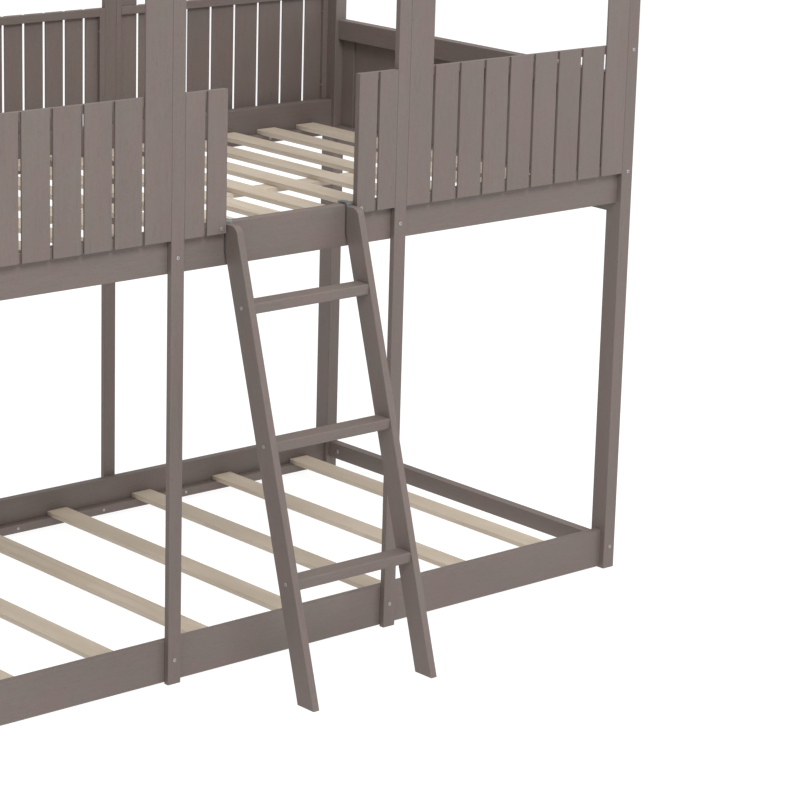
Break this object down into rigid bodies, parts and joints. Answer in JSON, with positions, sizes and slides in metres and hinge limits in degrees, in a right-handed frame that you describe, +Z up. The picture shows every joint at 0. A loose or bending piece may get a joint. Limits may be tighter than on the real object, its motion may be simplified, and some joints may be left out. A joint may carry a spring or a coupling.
{
  "type": "bunk bed with ladder",
  "caption": "House-shaped timber bunk bed: two slatted decks, boarded guards with window openings, open gable roof frame and a leaning ladder that lifts off.",
  "frame": {"origin": "on the floor, in the middle of the bed and its ladder taken together", "axes": "+X along the bed, to the right seen from the ladder side; +Y from the ladder side to the back; +Z up"},
  "size_m": [1.99, 1.355, 2.14],
  "materials": {
    "painted_pine": "greige paint, satin, faint upright grain showing through",
    "raw_pine": "bare sanded pine",
    "beech": "bare beech dowel",
    "zinc_steel": "dull zinc plate"
  },
  "bodies": {
    "frame": {"barrel_nuts": "zinc_steel", "batten_screws": "zinc_steel", "corner_post_back_left": "painted_pine", "corner_post_back_right": "painted_pine", "corner_post_front_left": "painted_pine", "corner_post_front_right": "painted_pine", "door_boards": "painted_pine", "door_frames": "painted_pine", "dowels": "beech", "eave_rail_back": "painted_pine", "eave_rail_front": "painted_pine", "eave_rail_left": "painted_pine", "eave_rail_right": "painted_pine", "end_panels": "painted_pine", "end_stiles": "painted_pine", "end_top_rails": "painted_pine", "long_bolts": "zinc_steel", "lower_ledger_back": "painted_pine", "lower_ledger_front": "painted_pine", "lower_rail_back": "painted_pine", "lower_rail_front": "painted_pine", "lower_rail_left": "painted_pine", "lower_rail_right": "painted_pine", "lower_slats": "raw_pine", "mid_post_back_left": "painted_pine", "mid_post_back_right": "painted_pine", "mid_post_front_left": "painted_pine", "mid_post_front_right": "painted_pine", "middle_boards_back": "painted_pine", "middle_frame_back": "painted_pine", "rafters_back": "painted_pine", "rafters_front": "painted_pine", "ridge_beam": "painted_pine", "short_bolts": "zinc_steel", "side_boards_back_left": "painted_pine", "side_boards_back_right": "painted_pine", "side_boards_front_left": "painted_pine", "side_boards_front_right": "painted_pine", "side_frame_back_left": "painted_pine", "side_frame_back_right": "painted_pine", "side_frame_front_left": "painted_pine", "side_frame_front_right": "painted_pine", "upper_ledger_back": "painted_pine", "upper_ledger_front": "painted_pine", "upper_rail_back": "painted_pine", "upper_rail_front": "painted_pine", "upper_rail_left": "painted_pine", "upper_rail_right": "painted_pine", "upper_slat_batten": "raw_pine", "upper_slats": "raw_pine", "window_headers": "painted_pine", "wood_screws": "zinc_steel"},
    "ladder": {"ladder_bolts": "zinc_steel", "ladder_hooks": "zinc_steel", "ladder_stringer_left": "painted_pine", "ladder_stringer_right": "painted_pine", "ladder_tread_1": "painted_pine", "ladder_tread_2": "painted_pine", "ladder_tread_3": "painted_pine", "hook_screws": "zinc_steel"}
  },
  "joints": [
    {"name": "ladder_lift", "type": "slide", "parent": "frame", "child": "ladder", "axis": [0, 0, 1], "range_m": [0, 0.12]}
  ]
}
